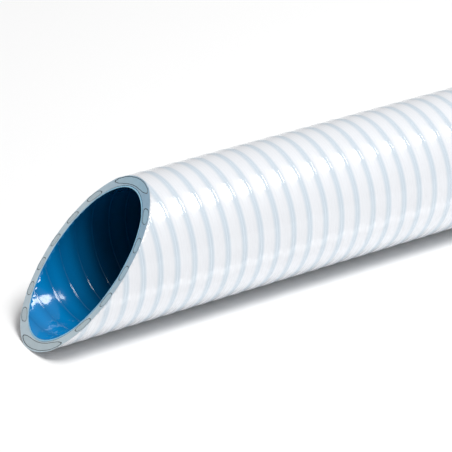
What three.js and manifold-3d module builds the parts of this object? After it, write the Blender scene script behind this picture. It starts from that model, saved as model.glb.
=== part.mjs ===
// A one-foot length of flexible PVC hose, lying on a level surface.
// A soft white wall holds a left-handed spiral of stiff PVC inside it, just under its skin,
// and a thin blue lining is bonded into the wall. The near end is cut on a slant and the far
// end is cut square. The slant parts the first turns of the spiral into short arcs, which
// stay in the wall.
// Millimetres, +Z up, +X along the hose from the slanted end to the square end.
// The origin is on the surface, under the middle of the hose.

import * as THREE from "three";
import { mergeVertices } from "three/addons/utils/BufferGeometryUtils.js";
import Module from "manifold-3d";

const wasm = await Module();
wasm.setup();

// Sizes of the hose, from its tip to its square end and through its wall from the outside in
const HOSE_LENGTH = 304.8;
const OUTSIDE_DIAMETER = 50;
const SKIN_THICKNESS = 0.4;
const SPIRAL_DEPTH = 2.1;
const BASE_THICKNESS = 0.3;
const LINING_THICKNESS = 0.4;

// Sizes of the spiral along the hose
const SPIRAL_PITCH = 7;
const SPIRAL_WIDTH = 3.5;

// Degrees between the slanted cut and the hose, and how far its tip is turned from straight
// down towards -Y
const CUT_ANGLE = 45.6;
const CUT_ROLL = 10.3;

// Clearance between pieces that are bonded in the real hose
const BOND_GAP = 0.1;

// Facets round the outside, which are the steps of the spiral's turn too, and round the bore
const OUTSIDE_SIDES = 24;
const BORE_SIDES = 48;

// Extra length that the pieces are made with, in turns, before the ends are cut
const SPARE_TURNS = 2;

// Radii through the wall
const outsideRadius = OUTSIDE_DIAMETER / 2;
const channelTop = outsideRadius - SKIN_THICKNESS;
const spiralTop = channelTop - BOND_GAP;
const spiralBottom = spiralTop - SPIRAL_DEPTH;
const channelBottom = spiralBottom - BOND_GAP;
const wallInside = channelBottom - BASE_THICKNESS;
const liningOutside = wallInside - BOND_GAP;
const boreRadius = liningOutside - LINING_THICKNESS;

// Radius of the corners of a polygon whose flats lie on a circle of the given radius
const cornerRadius = (radius, sides) => radius / Math.cos(Math.PI / sides);

// Angle round the hose, from +Y towards +Z, of a corner of its outside. The spiral has a
// step at each corner, and half a side is added so that the hose lies on a flat.
const sideAngle = (2 * Math.PI) / OUTSIDE_SIDES;
const stepAngle = (step) => (step + 0.5) * sideAngle - Math.PI / 2;

// How far the corners of the outside reach towards the tip of the slanted cut
const cutRoll = THREE.MathUtils.degToRad(CUT_ROLL);
const cutSlope = 1 / Math.tan(THREE.MathUtils.degToRad(CUT_ANGLE));
const tipAngle = -Math.PI / 2 - cutRoll;
const cornerReach = (step) =>
  cornerRadius(outsideRadius, OUTSIDE_SIDES) * Math.cos(stepAngle(step) - tipAngle);
const tipReach = Math.max(...Array.from({ length: OUTSIDE_SIDES }, (_, step) => cornerReach(step)));

// Places along the hose: its ends, and where the slanted cut crosses its axis
const squareEnd = HOSE_LENGTH / 2;
const tipEnd = -HOSE_LENGTH / 2;
const cutMiddle = tipEnd + tipReach * cutSlope;
const spareLength = SPARE_TURNS * SPIRAL_PITCH;

// Place along the hose of the spiral's middle at an angle. It is left-handed, so the place
// falls as the angle grows, and a turn of it meets the middle of the cut on the -Y side.
const spiralPlace = (angle) => cutMiddle - (SPIRAL_PITCH * (angle - Math.PI)) / (2 * Math.PI);

// A closed solid from a three.js geometry
function solidFrom(geometry) {
  const bare = geometry.clone();
  bare.deleteAttribute("normal");
  bare.deleteAttribute("uv");
  const merged = mergeVertices(bare);
  return new wasm.Manifold(
    new wasm.Mesh({
      numProp: 3,
      vertProperties: merged.getAttribute("position").array,
      triVerts: new Uint32Array(merged.index.array),
    }),
  );
}

// A solid round bar along the axis, past both ends, with its flats at the given radius
function roundBar(radius, sides) {
  const corner = cornerRadius(radius, sides);
  const bar = new THREE.CylinderGeometry(corner, corner, HOSE_LENGTH + 2 * spareLength, sides);
  bar.rotateY(Math.PI / sides);
  bar.rotateZ(-Math.PI / 2);
  return solidFrom(bar);
}

// A bar of oblong section between two radii, wound left-handed round the axis past both ends.
// A straight bar is extruded with one step for each side of the hose, and is then wound up.
function woundBar(width, bottom, top) {
  const turns = Math.ceil(HOSE_LENGTH / SPIRAL_PITCH) + 2 * SPARE_TURNS;
  const steps = turns * OUTSIDE_SIDES;
  const firstStep = Math.floor((cutMiddle - squareEnd) / SPIRAL_PITCH - SPARE_TURNS) * OUTSIDE_SIDES;
  const section = new THREE.Shape([
    new THREE.Vector2(-width / 2, bottom),
    new THREE.Vector2(width / 2, bottom),
    new THREE.Vector2(width / 2, top),
    new THREE.Vector2(-width / 2, top),
  ]);
  const bar = new THREE.ExtrudeGeometry(section, { depth: steps, steps, bevelEnabled: false });
  const corners = bar.getAttribute("position");
  for (let index = 0; index < corners.count; index++) {
    const angle = stepAngle(firstStep + Math.round(corners.getZ(index)));
    const corner = cornerRadius(corners.getY(index), OUTSIDE_SIDES);
    const place = spiralPlace(angle) + corners.getX(index);
    corners.setXYZ(index, place, corner * Math.cos(angle), corner * Math.sin(angle));
  }
  return solidFrom(bar);
}

// Everything between the slanted cut and the square end
function betweenCuts() {
  const reach = OUTSIDE_DIAMETER;
  const side = new THREE.Shape([
    new THREE.Vector2(cutMiddle - reach * cutSlope, -reach),
    new THREE.Vector2(squareEnd, -reach),
    new THREE.Vector2(squareEnd, reach),
    new THREE.Vector2(cutMiddle + reach * cutSlope, reach),
  ]);
  const block = new THREE.ExtrudeGeometry(side, { depth: 2 * reach, bevelEnabled: false });
  block.translate(0, 0, -reach);
  block.rotateX(Math.PI / 2 - cutRoll);
  return solidFrom(block);
}

// A named mesh from a solid
function pieceFrom(name, solid, material) {
  const { vertProperties, triVerts } = solid.getMesh();
  const geometry = new THREE.BufferGeometry();
  geometry.setAttribute("position", new THREE.BufferAttribute(vertProperties, 3));
  geometry.setIndex(new THREE.BufferAttribute(triVerts, 1));
  geometry.computeVertexNormals();
  const mesh = new THREE.Mesh(geometry, material);
  mesh.name = name;
  return mesh;
}

const softPvc = new THREE.MeshStandardMaterial({ color: 0xeef2f7, roughness: 0.25, metalness: 0 });
const stiffPvc = new THREE.MeshStandardMaterial({ color: 0xcfdde7, roughness: 0.3, metalness: 0 });
const bluePvc = new THREE.MeshStandardMaterial({ color: 0x0a78c2, roughness: 0.22, metalness: 0 });

const kept = betweenCuts();

// Soft wall, with the spiral's channel in it
const channel = woundBar(SPIRAL_WIDTH + 2 * BOND_GAP, channelBottom, channelTop);
const wall = roundBar(outsideRadius, OUTSIDE_SIDES)
  .subtract(channel)
  .subtract(roundBar(wallInside, BORE_SIDES))
  .intersect(kept);

// Blue lining
const lining = roundBar(liningOutside, BORE_SIDES)
  .subtract(roundBar(boreRadius, BORE_SIDES))
  .intersect(kept);

// Stiff spiral: its longest length first, and then the arcs that the slanted cut leaves
const lengths = woundBar(SPIRAL_WIDTH, spiralBottom, spiralTop).intersect(kept).decompose();
const [longest, ...arcs] = lengths.sort((a, b) => b.volume() - a.volume());

// The hose, lying on the surface
const hose = new THREE.Group();
hose.position.z = outsideRadius;
hose.add(pieceFrom("soft_wall", wall, softPvc));
hose.add(pieceFrom("blue_lining", lining, bluePvc));
hose.add(pieceFrom("rigid_spiral", longest, stiffPvc));
arcs.forEach((arc, index) => hose.add(pieceFrom(`spiral_arc_${index + 1}`, arc, stiffPvc)));

export default hose;
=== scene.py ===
# A one-foot length of flexible PVC hose on a pale floor: a ribbed soft white wall with a stiff
# spiral inside it, a glossy blue lining, and the near end cut on a slant.
import math

import bmesh
import bpy
from mathutils import Euler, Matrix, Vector


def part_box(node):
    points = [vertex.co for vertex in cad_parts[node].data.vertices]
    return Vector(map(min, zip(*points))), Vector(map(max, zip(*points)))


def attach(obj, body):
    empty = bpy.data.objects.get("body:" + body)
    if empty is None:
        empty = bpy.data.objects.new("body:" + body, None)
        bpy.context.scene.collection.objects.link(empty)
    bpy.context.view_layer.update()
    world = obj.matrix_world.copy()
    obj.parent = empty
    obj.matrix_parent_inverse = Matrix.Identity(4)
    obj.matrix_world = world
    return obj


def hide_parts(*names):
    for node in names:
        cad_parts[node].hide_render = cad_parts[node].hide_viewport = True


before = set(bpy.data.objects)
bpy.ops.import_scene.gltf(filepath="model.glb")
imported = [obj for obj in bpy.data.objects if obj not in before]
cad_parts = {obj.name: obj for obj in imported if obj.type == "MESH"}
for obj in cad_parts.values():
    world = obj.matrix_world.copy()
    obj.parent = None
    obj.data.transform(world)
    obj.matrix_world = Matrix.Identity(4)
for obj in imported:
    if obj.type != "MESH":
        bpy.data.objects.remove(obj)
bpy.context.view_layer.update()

# The meshes are worked out in millimetres and scaled to metres at the end
MM = 0.001

# The spiral, which every turn of the surface follows: its pitch, its section and the radius
# that its top lies at
PITCH = 7
SPIRAL_WIDTH = 3.5
SPIRAL_DEPTH = 2.1
SPIRAL_TOP = 24.5

# The slanted cut: degrees to the hose, and how far its tip is turned from straight down
CUT_ANGLE = 45.6
CUT_ROLL = 10.3

# Sides of the solids' outside, whose corners settle how far the slanted cut reaches
OUTSIDE_SIDES = 24

# Angle round the hose, in degrees, at which shade is painted deepest into the sawn faces
PAINTED_SHADE_SIDE = 120

# Fine shape of the surfaces, across one turn
RIDGE_HEIGHT = 0.15
RIDGE_WIDTH = 5
SEAM_DEPTH = 0.09
SEAM_WIDTH = 0.28
TURN_LEAN = 0.12

# The lining's thickness and the fine shape of its inside, across one turn
LINING_THICKNESS = 0.4
BORE_LEAN = 0.1
BORE_RIPPLE = 0.025
BORE_SEAM_HEIGHT = 0.02
BORE_SEAM_WIDTH = 0.22

# Clearances inside the wall, round the lining and round the spiral
BORE_CLEARANCE = 0.12
CHANNEL_CLEARANCE = 0.18

# How closely the columns of a turn gather at its seam, and how square the spiral's section is,
# from 1 for an oval down to 0 for a rectangle
COLUMN_GATHER = 1.8
OVAL_POWER = 0.75

# Mesh steps round one turn and across it, and the turns made past each end before the cuts
WALL_STEPS = 96
WALL_COLUMNS = 14
SPIRAL_STEPS = 48
SPIRAL_SIDES = 12
BORE_STEPS = 64
BORE_COLUMNS = 16
SPARE_TURNS = 1.5

# Distance from a cut plane at which a corner counts as lying on it
CUT_TOLERANCE = 0.00001

# Colours, as linear red, green and blue
WALL_WHITE = (0.735, 0.75, 0.78)
WALL_BAND = (0.56, 0.63, 0.695)
LINING_BLUE = (0.001, 0.2, 0.5)
LINING_DEEP_BLUE = (0.001, 0.16, 0.41)
# The spiral's grey is partly its own colour and partly painted shade, darkened where it shows in
# the gap
SPIRAL_SHADED_GREY = (0.2, 0.24, 0.27)
# The channel's near-black is painted shade for the gap round the spiral
CHANNEL_SHADE_GREY = (0.04, 0.05, 0.06)
# The sawn faces' second colours are painted shade, darker and bluer towards the top of the front
CUT_WALL_PALE = (0.58, 0.7, 0.77)
CUT_WALL_SHADED = (0.33, 0.5, 0.64)
CUT_SPIRAL_PALE = (0.53, 0.63, 0.68)
CUT_SPIRAL_SHADED = (0.36, 0.55, 0.68)
CUT_LINING_BLUE = (0.35, 0.66, 0.86)
FLOOR_WHITE = (0.86, 0.86, 0.86)

# Roughness of the surfaces, from 0 for a mirror to 1 for chalk. The wall's changes across a
# turn, and is listed with the share of the turn that it holds at.
WALL_ROUGHNESS = 0.22
WALL_SMOOTH = 0.12
WALL_DULL = 0.3
WALL_SEAM_DULL = 0.6
WALL_GLOSS = (
    (0.05, WALL_DULL),
    (0.3, WALL_SMOOTH),
    (0.47, WALL_SMOOTH),
    (0.5, WALL_SEAM_DULL),
    (0.53, WALL_SMOOTH),
    (0.65, WALL_SMOOTH),
    (0.9, WALL_DULL),
)
LINING_ROUGHNESS = 0.09
SPIRAL_ROUGHNESS = 0.4
CHANNEL_ROUGHNESS = 0.6
CUT_ROUGHNESS = 0.5
CUT_LINING_ROUGHNESS = 0.4
FLOOR_ROUGHNESS = 0.6

# Refractive index
PVC_IOR = 1.53

# Cloudy variation in colour: its grain per metre and its darkest level, and the levels of the
# noise at which it is darkest and lightest
WALL_CLOUDS = (90, 0.97)
CUT_CLOUDS = (350, 0.93)
PLAIN_CLOUDS = (200, 0.92)
CLOUD_DETAIL = 3
CLOUD_EDGES = (0.3, 0.7)

# Shallow unevenness: its grain per metre and its depth in metres
WALL_BUMP = (160, 0.00003)
LINING_BUMP = (120, 0.00003)
CUT_BUMP = (900, 0.0001)
BUMP_DETAIL = 2

# Shares across a turn at which the wall's band begins, is full, starts to fade and ends, and
# at which the lining's band begins, is full and ends
BAND_EDGES = (0.25, 0.4, 0.6, 0.72)
LINING_BAND_EDGES = (0.1, 0.5, 0.9)

# Shares of the way across a sawn face, towards its most shaded side, at which its painted shade
# begins and is deepest
CUT_PAINTED_SHADE_EDGES = (0.5, 0.95)

# How dark the shade painted into the lining is in the middle of the hose, and from where to where
# it lightens, as shares of the way from there to either end
LINING_MIDDLE_PAINTED_SHADE = 0.4
LINING_PAINTED_SHADE_EDGES = (0.7, 0.9)

# Half the width of the floor, in metres
FLOOR_REACH = 3

# The camera, in metres, at the photograph's viewing angle and focal length
CAMERA_PLACE = (-0.6376, -0.7755, 0.4341)
CAMERA_AZIMUTH = -36.27
CAMERA_ELEVATION = 23.11
CAMERA_LENS = 238.9

# The lights, in metres and watts: a softbox above the front, and a low strip in front of the
# hose. The pale surround and the floor's own faint glow are given by their strengths.
HOSE_NEAR = Vector((-0.06, 0, 0.025))
KEY_DIRECTION = (0.25, -0.35, 0.89)
KEY_DISTANCE = 2
KEY_SIZE = (1.25, 0.74)
KEY_POWER = 43
STRIP_PLACE = (0, -0.0395, 0.003)
STRIP_TARGET = (0, -0.01, 0.0435)
STRIP_SIZE = (0.4, 0.006)
STRIP_POWER = 0.013
SURROUND = 0.3
FLOOR_GLOW = 0.03

# Sizes from the frame
wall_low, wall_high = (Vector(corner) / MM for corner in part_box("soft_wall"))
lining_low, lining_high = (Vector(corner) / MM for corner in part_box("blue_lining"))
outside_radius = (wall_high.y - wall_low.y) / 2
lining_radius = (lining_high.y - lining_low.y) / 2
wall_inside = lining_radius + BORE_CLEARANCE
bore_radius = lining_radius - LINING_THICKNESS
tip_end = wall_low.x
square_end = wall_high.x
cut_slope = 1 / math.tan(math.radians(CUT_ANGLE))
cut_roll = math.radians(CUT_ROLL)


def tip_reach():
    """How far the corners of the frame's outside reach towards the tip of the cut."""
    corner = outside_radius / math.cos(math.pi / OUTSIDE_SIDES)
    angles = [(step + 0.5) * 2 * math.pi / OUTSIDE_SIDES for step in range(OUTSIDE_SIDES)]
    return max(corner * math.cos(angle - cut_roll) for angle in angles)


cut_middle = tip_end + tip_reach() * cut_slope
SLANTED_CUT = (
    Vector((cut_middle, 0, outside_radius)),
    Vector((-1, cut_slope * math.sin(cut_roll), cut_slope * math.cos(cut_roll))).normalized(),
)
SQUARE_CUT = (Vector((square_end, 0, outside_radius)), Vector((1, 0, 0)))


def place_on_winding(turn, offset, radius):
    """A point at a turn of the left-handed spiral, moved along the hose by an offset."""
    angle = math.pi - 2 * math.pi * turn
    x = cut_middle + PITCH * turn + offset
    return (x, radius * math.cos(angle), outside_radius + radius * math.sin(angle))


def turn_range(steps):
    """The first and last step of a winding that reaches past both ends of the hose."""
    first = math.floor(((tip_end - cut_middle) / PITCH - SPARE_TURNS) * steps)
    last = math.ceil(((square_end - cut_middle) / PITCH + SPARE_TURNS) * steps)
    return first, last


def wind(bm, profile, steps, closed, material_index=0):
    """Winds a profile of (offset, radius) points. A closed one makes a bar, and an open one a
    surface whose last column meets the first column of the next turn."""
    first, last = turn_range(steps)
    columns = len(profile)
    rows = [
        [bm.verts.new(place_on_winding(step / steps, *point)) for point in profile]
        for step in range(first, last + 1)
    ]
    for here, beyond in zip(range(len(rows)), range(1, len(rows))):
        for column in range(columns):
            side = column + 1
            if side < columns:
                near, far = rows[here][side], rows[beyond][side]
            elif closed:
                near, far = rows[here][0], rows[beyond][0]
            elif beyond + steps < len(rows):
                near, far = rows[here + steps][0], rows[beyond + steps][0]
            else:
                continue
            face = bm.faces.new((rows[here][column], rows[beyond][column], far, near))
            face.material_index = material_index


def add_tube(bm, radius, sides):
    """A plain round surface along the hose, open at both ends and past both cuts."""
    spare = SPARE_TURNS * PITCH
    rings = []
    for x in (tip_end - spare, square_end + spare):
        angles = [2 * math.pi * side / sides for side in range(sides)]
        rings.append([
            bm.verts.new((x, radius * math.cos(angle), outside_radius + radius * math.sin(angle)))
            for angle in angles
        ])
    low, high = rings
    for side in range(sides):
        after = (side + 1) % sides
        bm.faces.new((low[side], low[after], high[after], high[side]))


def columns_across(count):
    """Offsets across one turn, close together near the seam in its middle."""
    for index in range(count):
        share = 2 * index / count - 1
        yield math.copysign(abs(share) ** COLUMN_GATHER, share) * PITCH / 2


def lean(offset, rise):
    """How far a turn stands out at an offset, as it rises from seam to seam and drops at each."""
    half = math.copysign(0.5, offset) if offset else 0
    return rise * (offset / PITCH - half)


def wall_profile():
    """Outside of one turn: flat between turns, a low ridge over the spiral, and a fine seam."""
    points = []
    for offset in columns_across(WALL_COLUMNS):
        reach = min(abs(offset) / (RIDGE_WIDTH / 2), 1)
        ridge = RIDGE_HEIGHT * (1 + math.cos(math.pi * reach)) / 2
        seam = SEAM_DEPTH * math.exp(-((offset / SEAM_WIDTH) ** 2))
        crown = outside_radius - TURN_LEAN / 2 - RIDGE_HEIGHT
        points.append((offset, crown + lean(offset, TURN_LEAN) + ridge - seam))
    return points


def bore_profile():
    """Inside of one turn: a slight lean, a faint ripple and a fine raised seam."""
    points = []
    for offset in columns_across(BORE_COLUMNS):
        ripple = BORE_RIPPLE * math.cos(2 * math.pi * offset / PITCH)
        seam = BORE_SEAM_HEIGHT * math.exp(-((offset / BORE_SEAM_WIDTH) ** 2))
        points.append((offset, bore_radius + lean(offset, BORE_LEAN) + ripple - seam))
    return points


def oval_profile(clearance):
    """The spiral's rounded section, grown by a clearance."""
    half_width = SPIRAL_WIDTH / 2 + clearance
    half_depth = SPIRAL_DEPTH / 2 + clearance
    middle = SPIRAL_TOP - SPIRAL_DEPTH / 2
    points = []
    for side in range(SPIRAL_SIDES):
        angle = 2 * math.pi * (side + 0.5) / SPIRAL_SIDES
        across, up = math.cos(angle), math.sin(angle)
        points.append((
            half_width * math.copysign(abs(across) ** OVAL_POWER, across),
            middle + half_depth * math.copysign(abs(up) ** OVAL_POWER, up),
        ))
    return points


def cut_and_cap(bm, cut, material_index):
    """Cuts the meshes at a plane, drops what is past it and closes the cut face."""
    point, normal = cut
    geometry = bm.verts[:] + bm.edges[:] + bm.faces[:]
    result = bmesh.ops.bisect_plane(
        bm, geom=geometry, dist=CUT_TOLERANCE, plane_co=point, plane_no=normal, clear_outer=True
    )
    edges = [item for item in result["geom_cut"] if isinstance(item, bmesh.types.BMEdge)]
    filled = bmesh.ops.triangle_fill(bm, use_beauty=True, edges=edges, normal=normal)
    for item in filled["geom"]:
        if isinstance(item, bmesh.types.BMFace):
            item.material_index = material_index


def finish_piece(bm, name, materials, replaced):
    """Cuts both ends, scales to metres and makes the object that stands for the CAD nodes."""
    cut_and_cap(bm, SLANTED_CUT, 1)
    cut_and_cap(bm, SQUARE_CUT, 1)
    bmesh.ops.recalc_face_normals(bm, faces=bm.faces[:])
    for face in bm.faces:
        face.smooth = face.material_index != 1
    bmesh.ops.scale(bm, vec=(MM, MM, MM), verts=bm.verts[:])
    mesh = bpy.data.meshes.new(name)
    bm.to_mesh(mesh)
    bm.free()
    for material in materials:
        mesh.materials.append(material)
    piece = bpy.data.objects.new(name, mesh)
    bpy.context.scene.collection.objects.link(piece)
    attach(piece, "root")
    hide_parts(*replaced)
    return piece


def new_material(name, roughness):
    """A glossy material, its node tree and its shader, which has no colour yet."""
    material = bpy.data.materials.new(name)
    material.use_nodes = True
    shader = material.node_tree.nodes["Principled BSDF"]
    shader.inputs["Roughness"].default_value = roughness
    shader.inputs["IOR"].default_value = PVC_IOR
    return material, material.node_tree, shader


def math_node(tree, operation, first, second=None):
    """The output of a math node on sockets or numbers."""
    node = tree.nodes.new("ShaderNodeMath")
    node.operation = operation
    for socket, value in zip(node.inputs, (first, second)):
        if isinstance(value, (int, float)):
            socket.default_value = value
        elif value is not None:
            tree.links.new(value, socket)
    return node.outputs[0]


def place_sockets(tree):
    """X, Y and Z of a point, in metres."""
    coordinates = tree.nodes.new("ShaderNodeTexCoord")
    separate = tree.nodes.new("ShaderNodeSeparateXYZ")
    tree.links.new(coordinates.outputs["Object"], separate.inputs[0])
    return coordinates.outputs["Object"], separate.outputs


def share_of_turn(tree):
    """How far a point lies across its turn of the spiral, from 0 to 1, with the seam at 0.5."""
    _, (x, y, z) = place_sockets(tree)
    height = math_node(tree, "SUBTRACT", z, outside_radius * MM)
    angle = math_node(tree, "ARCTAN2", height, y)
    turn_from_angle = math_node(tree, "DIVIDE", angle, 2 * math.pi)
    from_cut = math_node(tree, "SUBTRACT", x, cut_middle * MM)
    along = math_node(tree, "DIVIDE", from_cut, PITCH * MM)
    turns = math_node(tree, "ADD", along, turn_from_angle)
    return math_node(tree, "FRACT", turns)


def ramp(tree, factor, stops):
    """A colour ramp over (position, colour) stops."""
    node = tree.nodes.new("ShaderNodeValToRGB")
    elements = node.color_ramp.elements
    while len(elements) < len(stops):
        elements.new(1)
    for element, (position, colour) in zip(elements, stops):
        element.position = position
        element.color = (*colour, 1)
    tree.links.new(factor, node.inputs["Fac"])
    return node.outputs["Color"]


def noise_texture(tree, grain, detail):
    """The grey level of a noise over the surface, with its grain per metre."""
    point, _ = place_sockets(tree)
    noise = tree.nodes.new("ShaderNodeTexNoise")
    noise.inputs["Scale"].default_value = grain
    noise.inputs["Detail"].default_value = detail
    tree.links.new(point, noise.inputs["Vector"])
    return noise.outputs["Fac"]


def grey(level):
    """A grey colour."""
    return (level,) * 3


def clouds(tree, grain, darkest):
    """Soft cloudy variation from a dark level up to white."""
    noise = noise_texture(tree, grain, CLOUD_DETAIL)
    return ramp(tree, noise, list(zip(CLOUD_EDGES, (grey(darkest), grey(1)))))


def multiply_colours(tree, first, second):
    """The product of two colours."""
    mix = tree.nodes.new("ShaderNodeMix")
    mix.data_type = "RGBA"
    mix.blend_type = "MULTIPLY"
    mix.inputs["Factor"].default_value = 1
    tree.links.new(first, mix.inputs["A"])
    tree.links.new(second, mix.inputs["B"])
    return mix.outputs["Result"]


def add_bump(tree, shader, grain, depth):
    """Shallow unevenness of a surface."""
    bump = tree.nodes.new("ShaderNodeBump")
    bump.inputs["Distance"].default_value = depth
    tree.links.new(noise_texture(tree, grain, BUMP_DETAIL), bump.inputs["Height"])
    tree.links.new(bump.outputs["Normal"], shader.inputs["Normal"])


def soft_pvc():
    """Glossy white PVC. The blue-grey spiral shows through it as a soft band, and the band is
    smoother than the rest of the turn, with a dull line along the seam in its middle."""
    material, tree, shader = new_material("soft_pvc", WALL_ROUGHNESS)
    share = share_of_turn(tree)
    colours = (WALL_WHITE, WALL_BAND, WALL_BAND, WALL_WHITE)
    bands = ramp(tree, share, list(zip(BAND_EDGES, colours)))
    tinted = multiply_colours(tree, bands, clouds(tree, *WALL_CLOUDS))
    tree.links.new(tinted, shader.inputs["Base Color"])
    gloss = ramp(tree, share, [(place, grey(level)) for place, level in WALL_GLOSS])
    tree.links.new(gloss, shader.inputs["Roughness"])
    add_bump(tree, shader, *WALL_BUMP)
    return material


def cut_pvc(name, pale, shaded_colour):
    """A sawn face: matt, with shade painted into its colour, darkest towards the top of the
    front.
    """
    material, tree, shader = new_material(name, CUT_ROUGHNESS)
    _, (_, y, z) = place_sockets(tree)
    shade_angle = math.radians(PAINTED_SHADE_SIDE)
    height = math_node(tree, "SUBTRACT", z, outside_radius * MM)
    across = math_node(tree, "MULTIPLY", y, math.cos(shade_angle) / (2 * outside_radius * MM))
    up = math_node(tree, "MULTIPLY", height, math.sin(shade_angle) / (2 * outside_radius * MM))
    share = math_node(tree, "ADD", math_node(tree, "ADD", across, up), 0.5)
    # Painted shade: the colour darkens towards the top of the front
    painted_shade_colour = ramp(tree, share, list(zip(CUT_PAINTED_SHADE_EDGES, (pale, shaded_colour))))
    tinted = multiply_colours(tree, painted_shade_colour, clouds(tree, *CUT_CLOUDS))
    tree.links.new(tinted, shader.inputs["Base Color"])
    add_bump(tree, shader, *CUT_BUMP)
    return material


def blue_pvc():
    """Glossy blue lining, with the faintest band at each turn, and shade painted into its colour
    deep inside.
    """
    material, tree, shader = new_material("blue_pvc", LINING_ROUGHNESS)
    colours = (LINING_BLUE, LINING_DEEP_BLUE, LINING_BLUE)
    bands = ramp(tree, share_of_turn(tree), list(zip(LINING_BAND_EDGES, colours)))
    _, (x, _, _) = place_sockets(tree)
    # Painted shade: the lining darkens towards the middle of the hose
    middle = (tip_end + square_end) / 2 * MM
    from_middle = math_node(tree, "ABSOLUTE", math_node(tree, "SUBTRACT", x, middle))
    half_length = (square_end - tip_end) / 2 * MM
    nearness = math_node(tree, "DIVIDE", from_middle, half_length)
    painted_shade_levels = (grey(LINING_MIDDLE_PAINTED_SHADE), grey(1))
    depth = ramp(tree, nearness, list(zip(LINING_PAINTED_SHADE_EDGES, painted_shade_levels)))
    tree.links.new(multiply_colours(tree, bands, depth), shader.inputs["Base Color"])
    add_bump(tree, shader, *LINING_BUMP)
    return material


def plain_pvc(name, colour, roughness):
    """PVC of one colour with a little variation."""
    material, tree, shader = new_material(name, roughness)
    tone = tree.nodes.new("ShaderNodeRGB")
    tone.outputs[0].default_value = (*colour, 1)
    tinted = multiply_colours(tree, tone.outputs[0], clouds(tree, *PLAIN_CLOUDS))
    tree.links.new(tinted, shader.inputs["Base Color"])
    return material


def make_wall():
    """The soft wall: ridged outside, plain inside, with the spiral's channel in it."""
    bm = bmesh.new()
    wind(bm, wall_profile(), WALL_STEPS, closed=False)
    wind(bm, oval_profile(CHANNEL_CLEARANCE), SPIRAL_STEPS, closed=True, material_index=2)
    add_tube(bm, wall_inside, WALL_STEPS)
    cut_face = cut_pvc("cut_soft_pvc_painted_shade", CUT_WALL_PALE, CUT_WALL_SHADED)
    channel_shade = plain_pvc("channel_shade_pvc", CHANNEL_SHADE_GREY, CHANNEL_ROUGHNESS)
    materials = [soft_pvc(), cut_face, channel_shade]
    return finish_piece(bm, "hose_wall", materials, ["soft_wall"])


def make_spiral():
    """The stiff spiral, with the arcs that the slanted cut parts from it."""
    bm = bmesh.new()
    wind(bm, oval_profile(0), SPIRAL_STEPS, closed=True)
    side = plain_pvc("stiff_pvc", SPIRAL_SHADED_GREY, SPIRAL_ROUGHNESS)
    cut_face = cut_pvc("cut_stiff_pvc_painted_shade", CUT_SPIRAL_PALE, CUT_SPIRAL_SHADED)
    nodes = [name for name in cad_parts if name.startswith(("rigid_spiral", "spiral_arc"))]
    finish_piece(bm, "stiff_spiral", [side, cut_face], nodes)


def make_lining():
    """The blue lining, faintly rippled inside."""
    bm = bmesh.new()
    wind(bm, bore_profile(), BORE_STEPS, closed=False)
    add_tube(bm, lining_radius, BORE_STEPS)
    cut_face = plain_pvc("cut_blue_pvc", CUT_LINING_BLUE, CUT_LINING_ROUGHNESS)
    finish_piece(bm, "bore_lining", [blue_pvc(), cut_face], ["blue_lining"])


def make_floor():
    """A plain pale floor, without gloss."""
    bm = bmesh.new()
    bmesh.ops.create_grid(bm, x_segments=1, y_segments=1, size=FLOOR_REACH)
    mesh = bpy.data.meshes.new("floor")
    bm.to_mesh(mesh)
    bm.free()
    material, _, shader = new_material("floor", FLOOR_ROUGHNESS)
    shader.inputs["Base Color"].default_value = (*FLOOR_WHITE, 1)
    shader.inputs["Emission Color"].default_value = (1, 1, 1, 1)
    shader.inputs["Emission Strength"].default_value = FLOOR_GLOW
    shader.inputs["Specular IOR Level"].default_value = 0
    mesh.materials.append(material)
    floor = bpy.data.objects.new("floor", mesh)
    bpy.context.scene.collection.objects.link(floor)


def add_area_light(name, place, target, size, power):
    """A soft rectangular light at a place, aimed at a target, which the camera doesn't see."""
    data = bpy.data.lights.new(name, "AREA")
    data.shape = "RECTANGLE"
    data.size, data.size_y = size
    data.energy = power
    light = bpy.data.objects.new(name, data)
    light.location = place
    light.rotation_euler = (Vector(target) - Vector(place)).to_track_quat("-Z", "Y").to_euler()
    light.visible_camera = False
    bpy.context.scene.collection.objects.link(light)


def make_lights():
    """A softbox above the front, a low strip in front of the hose and a pale surround."""
    world = bpy.data.worlds.new("surround")
    world.use_nodes = True
    background = world.node_tree.nodes["Background"]
    background.inputs["Color"].default_value = (1, 1, 1, 1)
    background.inputs["Strength"].default_value = SURROUND
    bpy.context.scene.world = world
    key_place = HOSE_NEAR + KEY_DISTANCE * Vector(KEY_DIRECTION).normalized()
    add_area_light("key", key_place, HOSE_NEAR, KEY_SIZE, KEY_POWER)
    add_area_light("strip", STRIP_PLACE, STRIP_TARGET, STRIP_SIZE, STRIP_POWER)


def make_camera():
    """The camera at the photograph's viewing angle."""
    data = bpy.data.cameras.new("camera")
    data.lens = CAMERA_LENS
    camera = bpy.data.objects.new("camera", data)
    camera.location = CAMERA_PLACE
    camera.rotation_euler = Euler(
        (math.radians(90 - CAMERA_ELEVATION), 0, math.radians(CAMERA_AZIMUTH))
    )
    bpy.context.scene.collection.objects.link(camera)
    bpy.context.scene.camera = camera


wall_piece = make_wall()
make_spiral()
make_lining()
make_floor()
make_lights()
make_camera()
bpy.context.scene.view_settings.view_transform = "Standard"
